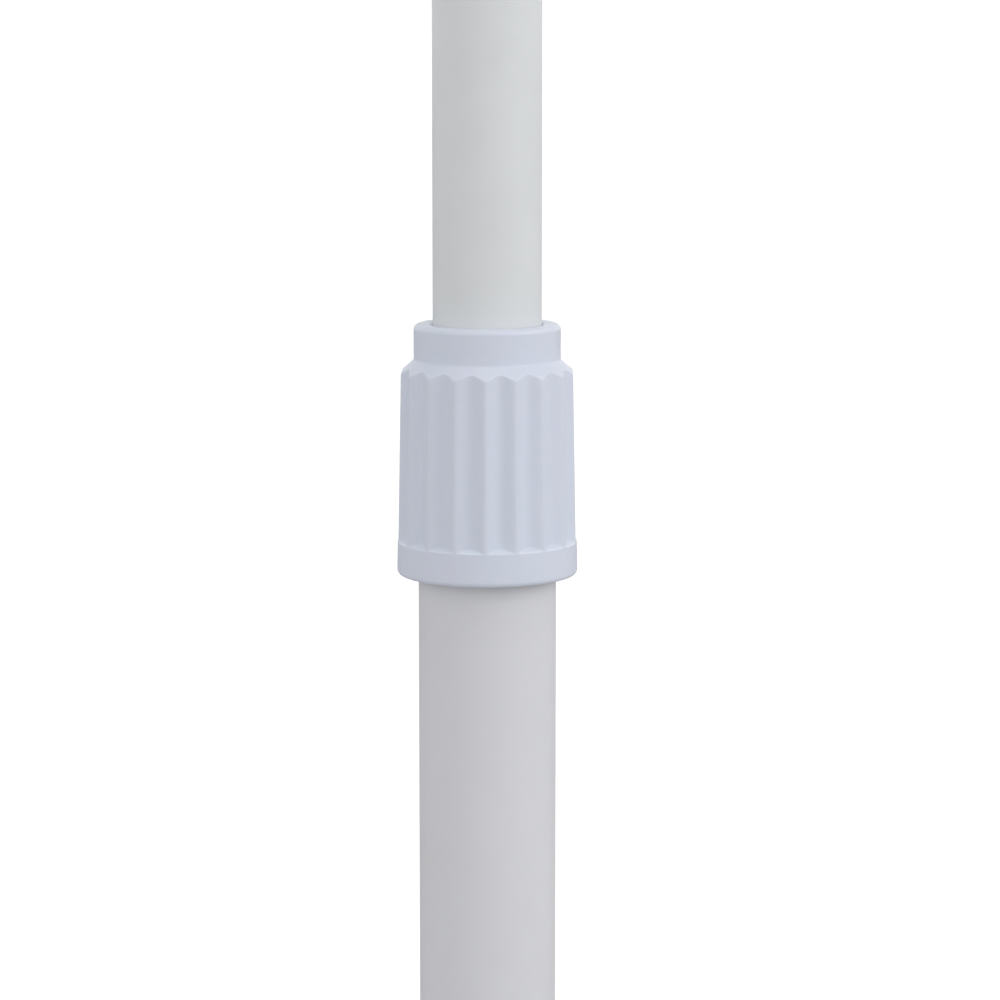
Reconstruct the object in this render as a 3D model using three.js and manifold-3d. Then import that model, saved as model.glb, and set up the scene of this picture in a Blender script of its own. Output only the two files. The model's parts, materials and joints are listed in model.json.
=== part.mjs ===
// An arc floor lamp whose mast telescopes and is locked by a ribbed twist collar.
// Millimetres, +Z up. The origin is the centre of the base's underside, on the floor.
// The arm reaches towards +X.
import * as THREE from "three";
import { mergeVertices } from "three/addons/utils/BufferGeometryUtils.js";
import Module from "manifold-3d";

const wasm = await Module();
wasm.setup();

// ---- Driving dimensions ----

const FIT = 0.3; // radial gap left between pieces that touch on the real lamp
const TOUCH = 0.2; // gap left between end faces that touch on the real lamp
const OVERCUT = 1; // how far a cutter runs past the surface it cuts, and a joined part is buried
const ROUND = 24; // sides of a mast-sized round piece
const SMALL = 16; // sides of a small round piece
const WIDE = 40; // sides of the base and the shade
const CURVE_STEPS = 8; // straight pieces in each curve of an extruded outline
const HEX = 6; // sides of a nut
const EDGE = { turn: 75, steps: 3 }; // how far in degrees, and in how many steps, a rolled edge bends over

// Base
const PAD = { r: 137, top: 3 };
const COVER = { r: 145, wall: 1.6, rim: 1.5, side: 16, edge: 7, top: 27, flat: 20 };
const WEIGHT = { r: 141, side: 14, flat: 136, top: 19.5, boss: 20, slope: 4, bore: 5.6 };
const RECESS = { r: 22, top: 11 }; // underside pocket for the nut and washer
const CHANNEL = { width: 11.4, top: 13.6 }; // underside groove for the flex
const STUD = { r: 5, bore: 3.4, hole: 5.4, bottom: 3.4, top: 58 };
const NUT = { across: 17, bottom: 3.5, height: 5.4 };
const WASHER = { r: 17, height: 1.8 };
const GLAND = { r: 4.6, lipR: 7, lip: 2.4, bevel: 1, height: 8, bore: 3.3, inner: -134, depth: 6 };
const FOOT = { r: 24, skirt: 30.5, edge: 5.7, edgeZ: 34, top: 41, topR: 15.6 };
const PLUG_TOP = 54;

// Mast tubes: 28 mm outer tube, 22 mm inner tube
const LOWER = { r: 14, wall: 1.2, bottom: 27.3 };
const UPPER = { r: 11, wall: 1.2, bottom: 470, top: 1290 };
const CLIP = { seat: 10.6, bore: 10.75, r: 12.2, height: 1.2, play: 0.2, side: 0.1, opening: 5 };
const BUSH = { bottom: 4.4, height: 30, play: 0.2 }; // bottom is measured up from the inner tube's end
const LINER = { wall: 1.6, lip: 2, height: 14 };

// Twist lock. Heights are measured up from the collar's lower edge.
const LOCK_Z = 700;
const COLLAR = {
  height: 51,
  footR: 18.34, // lower edge
  footBevel: 0.7,
  crownR: 17.6, // top of the ribs
  crown: 41,
  crownBevel: 0.9,
  neckR: 14.85,
  neck: 43.8,
  mouthR: 11.45,
  mouthBevel: 1.1,
  ribs: 18,
  grooveFrom: 6.8,
  grooveTo: 40.2,
  grooveR: 3.6, // radius of the groove's round section
  grooveDepth: 1,
  grooveEnd: 1, // height over which a groove's lower end slopes out
  grooveAngle: 9, // degrees from the front to the first groove's middle, towards +X
};
const CAVITY = { lead: 0.6, threadR: 16.3, threadTop: 23.4, r: 15.6, top: 39.1, seatR: 14.3, seat: 42.3 };
const THREAD = { pitch: 3, turns: 3, bottom: 4.2, rootW: 1.3, crestW: 0.7, root: 0.3, steps: 24 };
const FERRULE = { r: 15, crest: 16, bottom: 2.6, lip: 20, top: 22.6, bore: 11.5 };
const COLLET = { bottom: 22.9, collar: 27, cone: 33, top: 41, r: 14, tipR: 12.4, slots: 6, slot: 1.3 };
const RING = { r: 15.2, bottom: 34, shoulder: 39, top: 42, topR: 13.9, gap: 0.4 };

// Arm: a 19 mm tube that runs straight up out of the coupler and then bows over at a constant radius
const ARM = { r: 9.5, wall: 1, bottom: 1294.6, straight: 55.4, bow: 430, seamAngle: 105, endAngle: 25 };
const ARM_STEPS = 16; // straight lengths that each half of the arm is made of
const COUPLER = { r: 12.2, skirt: 28, bevel: 1.2, top: 1334, topBevel: 3, topR: 10.8, bore: 6.4 };
const SCREW = { r: 2.2, hole: 2.5, length: 2.4, height: 1316 };
const JOINER = { r: 7.4, wall: 1.1, half: 28, steps: 4 };

// Tilt joint at the end of the arm
const FORK = { reach: 22, gap: 3.2, ear: 4, earR: 9, body: 10.6, spigot: 13, spigotPlay: 0.6, bore: 3.4 };
const EYE = { half: 2.2, r: 9, neckR: 7, neckTop: -9.8, bottom: -22, studR: 4.8, studEnd: -33 };
const EYE_NUT = { across: 14, hole: 5.2, height: 5 };
const PIN = { r: 2.5, hole: 2.8, headR: 4.6, head: 2.8, domeR: 3 };
const KNOB = { r: 9, height: 9, sides: 24, bore: 2.75, face: 1.2, lobes: 6, dimpleR: 2.6, dimpleAt: 10.4 };
const DISC = { r: 7.5, bore: 2.9, from: 2.35, to: 3.05 };

// Lampholder, bulb and shade. Heights are measured down from the tilt pivot.
const HOLDER = { r: 19.5, wall: 3.6, flangeR: 23, top: -43, flange: 4, bottom: -88 };
const CAP = { top: -22.3, topR: 9.5, neckR: 11, neck: 2, r: 23, bottom: -42.7, skirt: 4, edge: 9, wall: 3 };
const CAP_RIM = { wall: 2.6, from: 20, to: 70, steps: 2 }; // its arc runs between two angles in degrees
const SHADE = { hole: 20.2, top: -47.4, crown: 34, r: 140, drop: 126, wall: 1.2, steps: 8 };
const SHADE_RING = { r: 27, bore: 20, top: -49.1, height: 8 };
const BLOCK = { r: 15.2, bore: 2, top: -47.4, height: 6 };
const SLEEVE = { r: 14.7, wall: 0.6, top: -54.4, bottom: -82 };
const CONTACT = { length: 12, width: 5, thickness: 0.6, off: 2 };
const BULB_CAP = { r: 13.4, tipR: 8.4, tip: -55.6, top: -57, bottom: -80, wall: 1.2 };
const GLOBE = { capR: 13.4, neck: -80.3, neckR: 14.5, neckEnd: -90.3, r: 30, centre: -122, wall: 1.2 };
const GLOBE_ARC = { from: -75, to: 50, steps: 8 }; // in degrees, from near its lowest point up to the neck

const radians = THREE.MathUtils.degToRad;

// ---- Shape helpers ----

// A body of revolution about Z from [radius, height] corners, anticlockwise with radius to the right.
function lathe(profile, sides = ROUND) {
  const points = profile.map(([r, z]) => new THREE.Vector2(r, z));
  if (profile[0][0] > 0) points.push(points[0].clone());
  return new THREE.LatheGeometry(points, sides).rotateX(Math.PI / 2);
}

const rod = (r, bottom, top, sides) => lathe([[0, bottom], [r, bottom], [r, top], [0, top]], sides);

const pipe = (r, bore, bottom, top, sides) =>
  lathe([[bore, bottom], [r, bottom], [r, top], [bore, top]], sides);

// Corners along an arc about (r, z), from one angle to another in degrees.
function arc(r, z, radius, from, to, steps) {
  return Array.from({ length: steps + 1 }, (_, i) => {
    const a = radians(from + ((to - from) * i) / steps);
    return [r + radius * Math.cos(a), z + radius * Math.sin(a)];
  });
}

const box = (x, y, z, cx, cy, cz) => new THREE.BoxGeometry(x, y, z).translate(cx, cy, cz);

// A geometry as a manifold-3d solid, and back again.
function solid(geometry) {
  const bare = new THREE.BufferGeometry();
  bare.setAttribute("position", geometry.getAttribute("position"));
  bare.setIndex(geometry.index);
  const merged = mergeVertices(bare, 1e-3);
  return new wasm.Manifold(
    new wasm.Mesh({
      numProp: 3,
      vertProperties: merged.attributes.position.array,
      triVerts: new Uint32Array(merged.index.array),
    }),
  );
}

function geometryOf(manifold) {
  const { vertProperties, triVerts } = manifold.getMesh();
  const geometry = new THREE.BufferGeometry();
  geometry.setAttribute("position", new THREE.BufferAttribute(vertProperties, 3));
  geometry.setIndex(new THREE.BufferAttribute(triVerts, 1));
  return geometry;
}

const cut = (geometry, ...tools) =>
  geometryOf(tools.reduce((left, tool) => left.subtract(solid(tool)), solid(geometry)));

const join = (geometry, ...others) =>
  geometryOf(others.reduce((left, other) => left.add(solid(other)), solid(geometry)));

// A right-hand screw thread: a trapezoid swept up a helix, with its root buried in the wall that carries it.
function thread(rootR, crestR, bottom) {
  const outside = crestR > rootR;
  const [innerR, innerW] = outside ? [rootR, THREAD.rootW] : [crestR, THREAD.crestW];
  const [outerR, outerW] = outside ? [crestR, THREAD.crestW] : [rootR, THREAD.rootW];
  const section = [
    [innerR, -innerW / 2],
    [outerR, -outerW / 2],
    [outerR, outerW / 2],
    [innerR, innerW / 2],
  ];
  const rows = THREAD.turns * THREAD.steps;
  const positions = [];
  for (let row = 0; row <= rows; row++) {
    const turn = (2 * Math.PI * row) / THREAD.steps;
    const rise = bottom + (THREAD.pitch * row) / THREAD.steps;
    section.forEach(([r, z]) => positions.push(r * Math.cos(turn), r * Math.sin(turn), rise + z));
  }
  const index = [0, 1, 2, 0, 2, 3];
  for (let row = 0; row < rows; row++) {
    for (let i = 0; i < 4; i++) {
      const a = row * 4 + i;
      const b = row * 4 + ((i + 1) % 4);
      index.push(a, a + 4, b + 4, a, b + 4, b);
    }
  }
  const last = rows * 4;
  index.push(last, last + 2, last + 1, last, last + 3, last + 2);
  const geometry = new THREE.BufferGeometry();
  geometry.setAttribute("position", new THREE.Float32BufferAttribute(positions, 3));
  geometry.setIndex(index);
  return geometry;
}

// The arm's centre line, by distance along it from the coupler.
class ArmCurve extends THREE.Curve {
  constructor(from, to) {
    super();
    this.from = from;
    this.to = to;
  }
  getPoint(t, target = new THREE.Vector3()) {
    const s = this.from + (this.to - this.from) * t;
    if (s <= ARM.straight) return target.set(0, 0, ARM.bottom + s);
    const a = Math.PI - (s - ARM.straight) / ARM.bow;
    const centreZ = ARM.bottom + ARM.straight;
    return target.set(ARM.bow + ARM.bow * Math.cos(a), 0, centreZ + ARM.bow * Math.sin(a));
  }
}

// Distance along the arm at which the bow has come round to an angle, measured from +X.
const along = (angle) => ARM.straight + ARM.bow * radians(180 - angle);

function bentPipe(r, bore, from, to, steps) {
  const section = new THREE.Shape().absarc(0, 0, r, 0, 2 * Math.PI);
  section.holes.push(new THREE.Path().absarc(0, 0, bore, 0, 2 * Math.PI, true));
  const path = new ArmCurve(from, to);
  return new THREE.ExtrudeGeometry(section, { steps, curveSegments: CURVE_STEPS, extrudePath: path });
}

// ---- Materials ----

const paint = new THREE.MeshStandardMaterial({ color: 0xdcdddb, roughness: 0.45, metalness: 0.1 });
const collarPlastic = new THREE.MeshStandardMaterial({ color: 0xd9deea, roughness: 0.42 });
const blackPlastic = new THREE.MeshStandardMaterial({ color: 0x2a2a2c, roughness: 0.6 });
const whitePlastic = new THREE.MeshStandardMaterial({ color: 0xe6e6e4, roughness: 0.5 });
const acetal = new THREE.MeshStandardMaterial({ color: 0xeeeae0, roughness: 0.4 });
const steel = new THREE.MeshStandardMaterial({ color: 0xa9acb0, roughness: 0.35, metalness: 1 });
const brass = new THREE.MeshStandardMaterial({ color: 0xc9a65a, roughness: 0.35, metalness: 1 });
const iron = new THREE.MeshStandardMaterial({ color: 0x4b4c4e, roughness: 0.85, metalness: 0.6 });
const foam = new THREE.MeshStandardMaterial({ color: 0x1d1d1f, roughness: 0.95 });
const opal = new THREE.MeshStandardMaterial({ color: 0xf6f4ee, roughness: 0.35 });

const lamp = new THREE.Group();
const fixed = new THREE.Group();
const lock = new THREE.Group();
const mast = new THREE.Group();
lock.position.z = LOCK_Z;
lamp.add(fixed, lock, mast);

function place(group, name, geometry, material) {
  const mesh = new THREE.Mesh(geometry, material);
  mesh.name = name;
  group.add(mesh);
  return mesh;
}

// ---- Base ----

place(fixed, "base_pad", rod(PAD.r, 0, PAD.top, WIDE), foam);

function baseWeight() {
  const body = lathe(
    [
      [WEIGHT.bore, RECESS.top],
      [RECESS.r, RECESS.top],
      [RECESS.r, PAD.top],
      [WEIGHT.r, PAD.top],
      [WEIGHT.r, WEIGHT.side],
      [WEIGHT.flat, WEIGHT.top],
      [WEIGHT.boss + WEIGHT.slope, WEIGHT.top],
      [WEIGHT.boss, COVER.top - COVER.wall - TOUCH],
      [WEIGHT.bore, COVER.top - COVER.wall - TOUCH],
    ],
    WIDE,
  );
  const length = WEIGHT.r + OVERCUT;
  const height = CHANNEL.top - PAD.top + OVERCUT;
  return cut(body, box(length, CHANNEL.width, height, -length / 2, 0, CHANNEL.top - height / 2));
}
place(fixed, "base_weight", baseWeight(), iron);

function baseCover() {
  const inner = COVER.r - COVER.wall;
  const corner = COVER.r - COVER.edge;
  const body = lathe(
    [
      [inner, COVER.rim],
      [COVER.r, COVER.rim],
      ...arc(corner, COVER.side, COVER.edge, 0, EDGE.turn, EDGE.steps),
      [COVER.flat, COVER.top],
      [WEIGHT.bore, COVER.top],
      [WEIGHT.bore, COVER.top - COVER.wall],
      [COVER.flat, COVER.top - COVER.wall],
      ...arc(corner, COVER.side, COVER.edge - COVER.wall, EDGE.turn, 0, EDGE.steps),
    ],
    WIDE,
  );
  const depth = COVER.r + GLAND.inner + OVERCUT;
  const hole = rod(GLAND.r + FIT, 0, depth, SMALL).rotateY(-Math.PI / 2);
  return cut(body, hole.translate(GLAND.inner, 0, GLAND.height));
}
place(fixed, "base_cover", baseCover(), paint);

function flexGland() {
  const lip = COVER.r + FIT + GLAND.inner; // the lip starts just clear of the cover's wall
  const end = lip + GLAND.lip;
  const body = lathe(
    [
      [0, 0],
      [GLAND.r, 0],
      [GLAND.r, lip],
      [GLAND.lipR, lip],
      [GLAND.lipR - GLAND.bevel, end],
      [GLAND.bore, end],
      [GLAND.bore, end - GLAND.depth],
      [0, end - GLAND.depth],
    ],
    SMALL,
  );
  return body.rotateY(-Math.PI / 2).translate(GLAND.inner, 0, GLAND.height);
}
place(fixed, "flex_gland", flexGland(), blackPlastic);

function hexNut(across, bore, bottom, height) {
  const corner = across / Math.sqrt(3);
  const outline = new THREE.Shape(
    Array.from({ length: HEX }, (_, i) => {
      const a = (i * 2 * Math.PI) / HEX;
      return new THREE.Vector2(corner * Math.cos(a), corner * Math.sin(a));
    }),
  );
  outline.holes.push(new THREE.Path().absarc(0, 0, bore, 0, 2 * Math.PI, true));
  const options = { depth: height, bevelEnabled: false, curveSegments: CURVE_STEPS };
  return new THREE.ExtrudeGeometry(outline, options).translate(0, 0, bottom);
}
place(fixed, "base_nut", hexNut(NUT.across, STUD.hole, NUT.bottom, NUT.height), steel);

const washerTop = RECESS.top - TOUCH;
const washer = pipe(WASHER.r, STUD.hole, washerTop - WASHER.height, washerTop);
place(fixed, "base_washer", washer, steel);
place(fixed, "mast_stud", pipe(STUD.r, STUD.bore, STUD.bottom, STUD.top, SMALL), steel);
place(
  fixed,
  "foot_ring",
  lathe([
    [LOWER.r + FIT, LOWER.bottom],
    [FOOT.r, LOWER.bottom],
    [FOOT.r, FOOT.skirt],
    ...arc(FOOT.r - FOOT.edge, FOOT.edgeZ, FOOT.edge, 0, EDGE.turn, EDGE.steps),
    [FOOT.topR, FOOT.top],
    [LOWER.r + FIT, FOOT.top],
  ]),
  paint,
);
const lowerBore = LOWER.r - LOWER.wall;
const plug = pipe(lowerBore - FIT, STUD.hole, LOWER.bottom, PLUG_TOP);
place(fixed, "lower_tube_plug", plug, steel);

// ---- Lower tube and the twist lock's fixed pieces ----

const lowerTop = LOCK_Z + FERRULE.lip - TOUCH;
place(fixed, "lower_tube", pipe(LOWER.r, lowerBore, LOWER.bottom, lowerTop), paint);

function lockFerrule() {
  const sleeve = lathe([
    [LOWER.r + FIT, FERRULE.bottom],
    [FERRULE.r, FERRULE.bottom],
    [FERRULE.r, FERRULE.top],
    [FERRULE.bore, FERRULE.top],
    [FERRULE.bore, FERRULE.lip],
    [LOWER.r + FIT, FERRULE.lip],
  ]);
  return join(sleeve, thread(FERRULE.r - THREAD.root, FERRULE.crest, THREAD.bottom));
}
place(lock, "lock_ferrule", lockFerrule(), blackPlastic);

// Radius of the collet's outside at a height on its cone.
const coneR = (z) =>
  COLLET.r + ((COLLET.tipR - COLLET.r) * (z - COLLET.cone)) / (COLLET.top - COLLET.cone);

function lockCollet() {
  const bore = UPPER.r + FIT;
  const body = lathe([
    [bore, COLLET.bottom],
    [COLLET.r, COLLET.bottom],
    [COLLET.r, COLLET.cone],
    [COLLET.tipR, COLLET.top],
    [bore, COLLET.top],
  ]);
  const slots = Array.from({ length: COLLET.slots }, (_, i) => {
    const bottom = i === 0 ? COLLET.bottom - OVERCUT : COLLET.collar; // the first slot goes right through
    const height = COLLET.top + OVERCUT - bottom;
    const length = COLLET.r + OVERCUT;
    const slot = box(length, COLLET.slot, height, length / 2, 0, bottom + height / 2);
    return slot.rotateZ((i * 2 * Math.PI) / COLLET.slots);
  });
  return cut(body, ...slots);
}
place(lock, "lock_collet", lockCollet(), acetal);

// ---- Twist lock: the moving ring and the ribbed collar ----

place(
  lock,
  "lock_ring",
  lathe([
    [coneR(RING.bottom) + RING.gap, RING.bottom],
    [RING.r, RING.bottom],
    [RING.r, RING.shoulder],
    [RING.topR, RING.top],
    [coneR(COLLET.top) + RING.gap, RING.top],
    [coneR(COLLET.top) + RING.gap, COLLET.top],
  ]),
  acetal,
);

function collarGroove(index) {
  const reach = COLLAR.grooveR - COLLAR.grooveDepth; // from the collar's surface out to the cutter's axis
  const rise = COLLAR.grooveTo - COLLAR.grooveFrom;
  const narrow = COLLAR.grooveR - COLLAR.grooveEnd;
  const top = rise + 2 * OVERCUT;
  const cutter = lathe(
    [
      [0, 0],
      [narrow, 0],
      [COLLAR.grooveR, COLLAR.grooveEnd],
      [COLLAR.grooveR, top],
      [0, top],
    ],
    SMALL,
  );
  const lean = Math.atan2(COLLAR.footR - COLLAR.crownR, COLLAR.crown);
  const middle = radians(-90 + COLLAR.grooveAngle + (index * 360) / COLLAR.ribs);
  const footR = COLLAR.footR - COLLAR.grooveFrom * Math.tan(lean);
  return cutter
    .rotateY(-lean)
    .translate(footR + reach, 0, COLLAR.grooveFrom)
    .rotateZ(middle);
}

function lockCollar() {
  const body = lathe(
    [
      [CAVITY.threadR + CAVITY.lead, 0],
      [COLLAR.footR - COLLAR.footBevel, 0],
      [COLLAR.footR, COLLAR.footBevel],
      [COLLAR.crownR, COLLAR.crown - COLLAR.crownBevel],
      [COLLAR.crownR - COLLAR.crownBevel, COLLAR.crown + COLLAR.crownBevel / 2],
      [COLLAR.neckR, COLLAR.neck],
      [COLLAR.neckR, COLLAR.height - COLLAR.mouthBevel],
      [COLLAR.neckR - COLLAR.mouthBevel, COLLAR.height],
      [COLLAR.mouthR, COLLAR.height],
      [COLLAR.mouthR, CAVITY.seat],
      [CAVITY.seatR, CAVITY.seat],
      [CAVITY.r, CAVITY.top],
      [CAVITY.r, CAVITY.threadTop],
      [CAVITY.threadR, CAVITY.threadTop],
      [CAVITY.threadR, CAVITY.lead],
    ],
    2 * COLLAR.ribs,
  );
  const grooves = Array.from({ length: COLLAR.ribs }, (_, i) => collarGroove(i));
  const halfPitch = THREAD.pitch / 2;
  const inner = thread(CAVITY.threadR + THREAD.root, FERRULE.r + FIT, THREAD.bottom + halfPitch);
  return join(cut(body, ...grooves), inner);
}
place(lock, "lock_collar", lockCollar(), collarPlastic);

// ---- Inner tube, its guide bush and its end pieces ----

const clipBottom = UPPER.bottom + BUSH.bottom - CLIP.height - CLIP.play;
const clipTop = UPPER.bottom + BUSH.bottom + BUSH.height + CLIP.play;

function upperTube() {
  const bore = UPPER.r - UPPER.wall;
  const seats = [clipBottom, clipTop].flatMap((z) => [
    [UPPER.r, z - CLIP.side],
    [CLIP.seat, z - CLIP.side],
    [CLIP.seat, z + CLIP.height + CLIP.side],
    [UPPER.r, z + CLIP.height + CLIP.side],
  ]);
  return lathe([
    [bore, UPPER.bottom],
    [UPPER.r, UPPER.bottom],
    ...seats,
    [UPPER.r, UPPER.top],
    [bore, UPPER.top],
  ]);
}
place(mast, "upper_tube", upperTube(), paint);

const bushBottom = UPPER.bottom + BUSH.bottom;
const bush = pipe(lowerBore - FIT, UPPER.r + BUSH.play, bushBottom, bushBottom + BUSH.height);
place(mast, "guide_bush", bush, acetal);

// A spring clip is a ring with a gap, sprung into the groove round the tube.
function tubeClip(bottom) {
  const ring = pipe(CLIP.r, CLIP.bore, bottom, bottom + CLIP.height);
  const height = CLIP.height + 2 * OVERCUT;
  const opening = box(CLIP.r, CLIP.opening, height, CLIP.r, 0, bottom + CLIP.height / 2);
  return cut(ring, opening);
}
place(mast, "clip_lower", tubeClip(clipBottom), steel);
place(mast, "clip_upper", tubeClip(clipTop), steel);

const linerR = UPPER.r - UPPER.wall - FIT;
place(
  mast,
  "flex_liner",
  lathe([
    [linerR - LINER.wall, UPPER.bottom - LINER.lip],
    [UPPER.r, UPPER.bottom - LINER.lip],
    [UPPER.r, UPPER.bottom - TOUCH],
    [linerR, UPPER.bottom - TOUCH],
    [linerR, UPPER.bottom + LINER.height],
    [linerR - LINER.wall, UPPER.bottom + LINER.height],
  ]),
  blackPlastic,
);

// ---- Arm ----

function armCoupler() {
  const seat = ARM.bottom - FIT;
  const body = lathe([
    [COUPLER.bore, UPPER.top - COUPLER.skirt],
    [linerR, UPPER.top - COUPLER.skirt],
    [linerR, UPPER.top + TOUCH],
    [UPPER.r, UPPER.top + TOUCH],
    [COUPLER.r, UPPER.top + TOUCH + COUPLER.bevel],
    [COUPLER.r, COUPLER.top - COUPLER.topBevel],
    [COUPLER.topR, COUPLER.top],
    [ARM.r + FIT, COUPLER.top],
    [ARM.r + FIT, seat],
    [COUPLER.bore, seat],
  ]);
  const hole = rod(SCREW.hole, ARM.r - OVERCUT, COUPLER.r + OVERCUT, SMALL).rotateX(-Math.PI / 2);
  return cut(body, hole.translate(0, 0, SCREW.height));
}
place(mast, "arm_coupler", armCoupler(), paint);
const screwStart = ARM.r + TOUCH;
const screw = rod(SCREW.r, screwStart, screwStart + SCREW.length, SMALL).rotateX(-Math.PI / 2);
place(mast, "coupler_screw", screw.translate(0, 0, SCREW.height), steel);

const seam = along(ARM.seamAngle);
const armBore = ARM.r - ARM.wall;
const innerArm = bentPipe(ARM.r, armBore, 0, seam - TOUCH, ARM_STEPS);
place(mast, "arm_tube_lower", innerArm, paint);
place(
  mast,
  "arm_joiner",
  bentPipe(JOINER.r, JOINER.r - JOINER.wall, seam - JOINER.half, seam + JOINER.half, JOINER.steps),
  steel,
);
const armLength = along(ARM.endAngle);
const outerArm = bentPipe(ARM.r, armBore, seam + TOUCH, armLength, ARM_STEPS);
place(mast, "arm_tube_upper", outerArm, paint);

// ---- Tilt joint. In this group the pivot is the origin and the arm arrives from +Z. ----

const armEnd = new ArmCurve(0, armLength).getPoint(1);
const heading = radians(ARM.endAngle);
const pivot = new THREE.Vector3(
  armEnd.x + FORK.reach * Math.sin(heading),
  0,
  armEnd.z - FORK.reach * Math.cos(heading),
);
const tilt = new THREE.Group();
tilt.position.copy(pivot);
tilt.rotation.y = -heading;
lamp.add(tilt);

// A flat piece across the pivot: a disc of radius r that runs on to a straight-sided stem up to height top.
function ear(r, from, to, top) {
  const outline = new THREE.Shape();
  outline.absarc(0, 0, r, Math.PI, 2 * Math.PI);
  outline.lineTo(r, top);
  outline.lineTo(-r, top);
  outline.closePath();
  const options = { depth: to - from, bevelEnabled: false, curveSegments: CURVE_STEPS };
  return new THREE.ExtrudeGeometry(outline, options).rotateX(Math.PI / 2).translate(0, to, 0);
}

// A round bar along Y, from one side of the pivot to the other.
const crossRod = (r, from, to, sides = SMALL) => rod(r, from, to, sides).rotateX(-Math.PI / 2);

const forkSide = FORK.gap + FORK.ear;
const pinHole = crossRod(PIN.hole, -forkSide - OVERCUT, forkSide + OVERCUT);
const pinSeat = forkSide + TOUCH; // where the bolt's head and the knob bear on the fork

function tiltFork() {
  const shaft = FORK.reach + FORK.spigot;
  const body = join(
    rod(ARM.r, FORK.body, FORK.reach - FIT, SMALL),
    rod(armBore - FORK.spigotPlay, FORK.body, shaft, SMALL),
    ear(FORK.earR, FORK.gap, forkSide, FORK.body + OVERCUT),
    ear(FORK.earR, -forkSide, -FORK.gap, FORK.body + OVERCUT),
  );
  return cut(body, pinHole, rod(FORK.bore, 0, shaft + OVERCUT, SMALL));
}
place(tilt, "tilt_fork", tiltFork(), paint);

function pivotBolt() {
  const end = -pinSeat - KNOB.height + KNOB.face + FIT;
  const body = lathe(
    [
      [0, end],
      [PIN.r, end],
      [PIN.r, pinSeat],
      [PIN.headR, pinSeat],
      [PIN.headR, pinSeat + PIN.head / 2],
      [PIN.domeR, pinSeat + PIN.head],
      [0, pinSeat + PIN.head],
    ],
    SMALL,
  );
  return body.rotateX(-Math.PI / 2);
}
place(tilt, "pivot_bolt", pivotBolt(), steel);

function tiltKnob() {
  const outside = -pinSeat - KNOB.height;
  const body = crossRod(KNOB.r, outside, -pinSeat, KNOB.sides);
  const bore = crossRod(KNOB.bore, outside + KNOB.face, 0);
  const dimples = Array.from({ length: KNOB.lobes }, (_, i) => {
    const a = (2 * Math.PI * i) / KNOB.lobes;
    const dimple = crossRod(KNOB.dimpleR, outside - OVERCUT, 0, KNOB.sides / 2);
    return dimple.translate(KNOB.dimpleAt * Math.cos(a), 0, KNOB.dimpleAt * Math.sin(a));
  });
  return cut(body, bore, ...dimples);
}
place(tilt, "tilt_knob", tiltKnob(), blackPlastic);

const frictionDisc = pipe(DISC.r, DISC.bore, DISC.from, DISC.to, SMALL);
place(tilt, "friction_disc_left", frictionDisc.clone().rotateX(-Math.PI / 2), acetal);
place(tilt, "friction_disc_right", frictionDisc.clone().rotateX(Math.PI / 2), acetal);

// ---- Lampholder, bulb and shade, hanging straight down from the pivot ----

const head = new THREE.Group();
head.position.copy(pivot);
lamp.add(head);

function shadeEye() {
  const tongue = ear(EYE.r, -EYE.half, EYE.half, -EYE.neckTop + OVERCUT).rotateX(Math.PI);
  const neck = rod(EYE.neckR, EYE.bottom, EYE.neckTop, SMALL);
  const stud = rod(EYE.studR, EYE.studEnd, EYE.bottom + OVERCUT, SMALL);
  return cut(join(tongue, neck, stud), pinHole);
}
place(head, "shade_eye", shadeEye(), paint);

const eyeNutBottom = CAP.top - CAP.wall - TOUCH - EYE_NUT.height;
place(head, "eye_nut", hexNut(EYE_NUT.across, EYE_NUT.hole, eyeNutBottom, EYE_NUT.height), steel);

function holderCap() {
  const skirtTop = CAP.bottom + CAP.skirt;
  return lathe([
    [CAP.r - CAP_RIM.wall, CAP.bottom],
    [CAP.r, CAP.bottom],
    [CAP.r, skirtTop],
    ...arc(CAP.r - CAP.edge, skirtTop, CAP.edge, CAP_RIM.from, CAP_RIM.to, CAP_RIM.steps),
    [CAP.neckR, CAP.top - CAP.neck],
    [CAP.topR, CAP.top],
    [EYE_NUT.hole, CAP.top],
    [EYE_NUT.hole, CAP.top - CAP.wall],
    [CAP.topR, CAP.top - CAP.wall],
    ...arc(CAP.r - CAP.edge, skirtTop, CAP.edge - CAP_RIM.wall, CAP_RIM.to, CAP_RIM.from, CAP_RIM.steps),
    [CAP.r - CAP_RIM.wall, skirtTop],
  ]);
}
place(head, "holder_cap", holderCap(), whitePlastic);

place(
  head,
  "holder_shell",
  lathe([
    [HOLDER.r - HOLDER.wall, HOLDER.bottom],
    [HOLDER.r, HOLDER.bottom],
    [HOLDER.r, HOLDER.top - HOLDER.flange],
    [HOLDER.flangeR, HOLDER.top - HOLDER.flange],
    [HOLDER.flangeR, HOLDER.top],
    [HOLDER.r - HOLDER.wall, HOLDER.top],
  ]),
  whitePlastic,
);

const blockBottom = BLOCK.top - BLOCK.height;
place(head, "terminal_block", pipe(BLOCK.r, BLOCK.bore, blockBottom, BLOCK.top), whitePlastic);

const sleeve = pipe(SLEEVE.r, SLEEVE.r - SLEEVE.wall, SLEEVE.bottom, SLEEVE.top);
place(head, "holder_sleeve", sleeve, brass);

const contact = box(CONTACT.length, CONTACT.width, CONTACT.thickness, 0, 0, 0);
const contactZ = blockBottom - TOUCH - CONTACT.thickness / 2;
place(head, "centre_contact", contact.translate(CONTACT.off, 0, contactZ), brass);

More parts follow.
